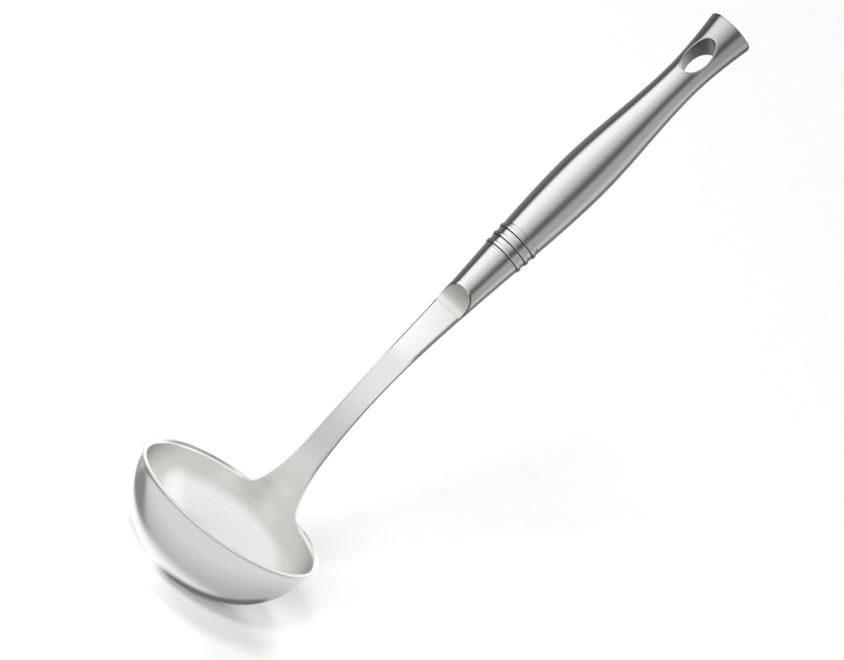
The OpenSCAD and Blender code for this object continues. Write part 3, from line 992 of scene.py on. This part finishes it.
def build_screen():
    angles = [math.radians(-SCREEN_OPEN + 2 * SCREEN_OPEN * n / SCREEN_STEPS)
              for n in range(SCREEN_STEPS + 1)]
    points = [(SCREEN_R * math.cos(a), SCREEN_R * math.sin(a), t)
              for a in angles for t in (SCREEN_FROM, SCREEN_TO)]
    faces = [(2 * n, 2 * n + 2, 2 * n + 3, 2 * n + 1) for n in range(SCREEN_STEPS)]
    tree = only_reflected("handle_screen", points, faces, SCREEN_FRAME)
    parts = add(tree, "ShaderNodeSeparateXYZ",
                {"Vector": add(tree, "ShaderNodeTexCoord").outputs["Object"]})
    angle = add(tree, "ShaderNodeMath", {0: parts.outputs["Y"], 1: parts.outputs["X"]},
                operation="ARCTAN2").outputs[0]
    share = add(tree, "ShaderNodeMapRange", {"Value": angle, "From Min": -math.pi,
                                             "From Max": math.pi}).outputs[0]
    ramp = add(tree, "ShaderNodeValToRGB", {"Fac": share})
    set_ramp(ramp, SCREEN_STOPS, -180, 180, SCREEN_TOP)
    place = add(tree, "ShaderNodeMapRange",
                {"Value": parts.outputs["Z"], "From Min": SCREEN_FROM * MM,
                 "From Max": SCREEN_TO * MM}).outputs[0]
    along = add(tree, "ShaderNodeValToRGB", {"Fac": place})
    set_ramp(along, LENGTH_STOPS, SCREEN_FROM, SCREEN_TO, LENGTH_TOP)
    scale = add(tree, "ShaderNodeMath", {0: along.outputs["Color"], 1: SCREEN_TOP * LENGTH_TOP},
                operation="MULTIPLY").outputs[0]
    show_level(tree, ramp.outputs["Color"], scale)


build_screen()

# %% [markdown]
# The bowl's outside mirrors the table that it stands on. A sheet just above the table, seen only by
# reflections, gives it that level, with soft oval patches, three darker and one lighter, where the
# bowl shows bands. The last and darkest patch, beside the bowl's foot, is the bowl's own shadow
# painted on the sheet. Each patch is a middle, two half widths, a turn in degrees, a level and a
# softness.

# %% Lay the mirrored table
TABLE_HALF = 600
TABLE_LIFT = 0.3
TABLE_LEVEL = 0.92
TABLE_PATCHES = [((23.9, 27.7), (57.9, 80.6), -9, 0.3, 0.72),
                 ((-12.6, 59.4), (50.6, 24.6), 88, 0.33, 0.28),
                 ((25.6, 25.4), (65.1, 44.7), 40, 1.22, 0.12),
                 ((4.1, -19.8), (31.5, 16.3), -42, 0.19, 0.18)]


def build_table_sheet():
    corners = [(x * TABLE_HALF, y * TABLE_HALF, TABLE_LIFT)
               for x, y in ((-1, -1), (1, -1), (1, 1), (-1, 1))]
    tree = only_reflected("table_sheet", corners, [(0, 1, 2, 3)], Matrix.Identity(4))
    place = add(tree, "ShaderNodeTexCoord").outputs["Object"]
    level = TABLE_LEVEL
    for (x, y), (rx, ry), turn_deg, patch_level, soft in TABLE_PATCHES:
        local = add(tree, "ShaderNodeMapping",
                    {"Vector": place, "Location": (x * MM, y * MM, 0),
                     "Rotation": (0, 0, math.radians(turn_deg)),
                     "Scale": (rx * MM, ry * MM, 1)}, vector_type="TEXTURE").outputs[0]
        away = add(tree, "ShaderNodeVectorMath", {0: local}, operation="LENGTH").outputs["Value"]
        cover = add(tree, "ShaderNodeMapRange",
                    {"Value": away, "From Min": 1 - soft, "From Max": 1 + soft, "To Min": 1,
                     "To Max": 0}, interpolation_type="SMOOTHSTEP").outputs[0]
        level = add(tree, "ShaderNodeMix", {0: cover, 2: level, 3: patch_level}).outputs[0]
    show_level(tree, level)


build_table_sheet()

# %% [markdown]
# The inside of the bowl and the shank mirror the room. A round screen far outside everything else
# gives it its levels: grey near the horizon, where the shank's lower part looks, brighter higher
# up, and bright on the handle's side, which the wall of the bowl sees at second hand. Each stop is
# an angle above the horizon and a level.

# %% Stand the round screen
AIM_MM = Vector((40, 0, 90))
ROOM_R = 1500.0
ROOM_AROUND, ROOM_RINGS = 72, 18
ROOM_LOW, ROOM_HIGH, ZENITH = -12, 88, 90
ROOM_TOP = 1.5
ROOM_STOPS = [(-12, .52), (-4, .54), (2, .68), (8, .76), (13, .96), (18, 1.14), (24, 1.12),
              (36, 1.07), (60, 1.02), (90, 1)]
FAR_LEVEL = 1.32
FAR_FROM, FAR_TO = -0.2, 0.3


def build_room_screen():
    rises = [math.radians(ROOM_LOW + (ROOM_HIGH - ROOM_LOW) * i / ROOM_RINGS)
             for i in range(ROOM_RINGS + 1)]
    points = turned_points([(ROOM_R * math.cos(a), ROOM_R * math.sin(a)) for a in rises],
                           ROOM_AROUND)
    tree = only_reflected("room_screen", points,
                          tube_faces(ROOM_RINGS + 1, ROOM_AROUND, closed_ends=False),
                          Matrix.Translation(AIM_MM * MM))
    parts = add(tree, "ShaderNodeSeparateXYZ",
                {"Vector": add(tree, "ShaderNodeTexCoord").outputs["Object"]})
    rise = add(tree, "ShaderNodeMath", {0: parts.outputs["Z"], 1: 1 / (ROOM_R * MM)},
               operation="MULTIPLY").outputs[0]
    rise = add(tree, "ShaderNodeMath", {0: rise}, operation="ARCSINE").outputs[0]
    share = add(tree, "ShaderNodeMapRange", {"Value": rise, "From Min": math.radians(ROOM_LOW),
                                             "From Max": math.radians(ZENITH)}).outputs[0]
    ramp = add(tree, "ShaderNodeValToRGB", {"Fac": share})
    set_ramp(ramp, ROOM_STOPS, ROOM_LOW, ZENITH, ROOM_TOP)
    far = add(tree, "ShaderNodeMapRange",
              {"Value": parts.outputs["X"], "From Min": FAR_FROM, "From Max": FAR_TO},
              interpolation_type="SMOOTHSTEP").outputs[0]
    level = add(tree, "ShaderNodeMath", {0: ramp.outputs["Color"], 1: ROOM_TOP},
                operation="MULTIPLY").outputs[0]
    level = add(tree, "ShaderNodeMix", {0: far, 2: level, 3: FAR_LEVEL}).outputs[0]
    show_level(tree, level)


build_room_screen()

# %% [markdown]
# ## Lamps
# Four soft lamps far away light the floor, and through it all that isn't a mirror. The smallest,
# high on the left, draws the soft shadow under the bowl. A wide low one in front of it lays the
# handle's faint long shadow to the right. A wide low one behind on the right and one overhead fill
# the rest, so that the paper stays white. Reflections don't see the lamps, because the backdrops
# stand for them.

# %% Hang the lamps
LAMP_FAR = 9000


def hang_lamp(name, direction, size_mm, watts):
    data = bpy.data.lights.new(name, "AREA")
    data.shape = "RECTANGLE"
    data.size, data.size_y = size_mm[0] * MM, size_mm[1] * MM
    data.energy = watts
    lamp = bpy.data.objects.new(name, data)
    bpy.context.scene.collection.objects.link(lamp)
    way = Vector(direction).normalized()
    lamp.matrix_world = (Matrix.Translation((AIM_MM + way * LAMP_FAR) * MM)
                         @ way.to_track_quat("Z", "Y").to_matrix().to_4x4())
    lamp.visible_camera = False
    lamp.visible_glossy = False
    print(name, "at", [round(v, 2) for v in lamp.location])


hang_lamp("shadow_lamp", (-0.81, -0.04, 0.58), (1500, 1500), 330.0)
hang_lamp("front_lamp", (-0.9, -0.26, 0.34), (4000, 2000), 640.0)
hang_lamp("side_lamp", (0.42, 0.89, 0.2), (5800, 1400), 960.0)
hang_lamp("top_lamp", (-0.1, 0.15, 1.0), (3200, 3200), 240.0)
